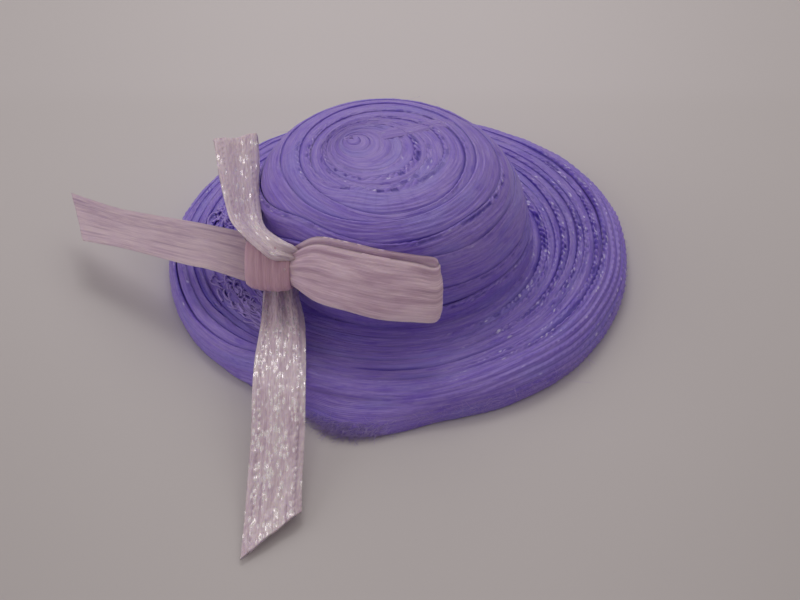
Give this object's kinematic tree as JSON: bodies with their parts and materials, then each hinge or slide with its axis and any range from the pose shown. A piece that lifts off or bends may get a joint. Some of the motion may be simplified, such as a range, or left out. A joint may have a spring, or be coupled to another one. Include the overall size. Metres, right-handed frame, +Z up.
{
  "type": "miniature ribbon sun hat with bow",
  "caption": "Miniature round-crowned hat with a flat brim, wound from overlapping laps of narrow lilac satin ribbon, with a pale pink ribbon bow at the side front of the crown.",
  "frame": {"origin": "centre of the head opening, on the plane that the hat lies on", "axes": "+Z up through the crown; -Y the front, where the bow's long tail runs; +X to the viewer's right"},
  "size_m": [0.0305, 0.0345, 0.0084],
  "materials": {
    "hat_ribbon": "lilac satin ribbon, soft sheen",
    "lining_ribbon": "lilac satin ribbon, dull side out",
    "bow_ribbon": "pale pink satin ribbon",
    "felt": "pressed lilac felt",
    "stiffened_cap": "stiffened open-weave cloth",
    "clear_glue": "dried clear craft glue"
  },
  "bodies": {
    "root": {"crown_form": "stiffened_cap", "crown_tip_coil": "hat_ribbon", "crown_lap_1": "hat_ribbon", "crown_lap_2": "hat_ribbon", "crown_lap_3": "hat_ribbon", "crown_lap_4": "hat_ribbon", "crown_lap_5": "hat_ribbon", "crown_lap_6": "hat_ribbon", "head_band": "lining_ribbon", "brim_form": "stiffened_cap", "brim_lap_1": "hat_ribbon", "brim_lap_2": "hat_ribbon", "brim_lap_3": "hat_ribbon", "brim_lap_4": "hat_ribbon", "brim_lap_5": "hat_ribbon", "brim_lap_6": "hat_ribbon", "brim_lap_7": "hat_ribbon", "brim_lap_8": "hat_ribbon", "brim_lap_9": "hat_ribbon", "brim_lap_edge": "hat_ribbon", "brim_facing": "felt", "bow_knot": "bow_ribbon", "bow_core": "bow_ribbon", "bow_glue": "clear_glue", "bow_loop_right": "bow_ribbon", "bow_loop_upper": "bow_ribbon", "bow_tail_left": "bow_ribbon", "bow_tail_front": "bow_ribbon"}
  },
  "joints": []
}
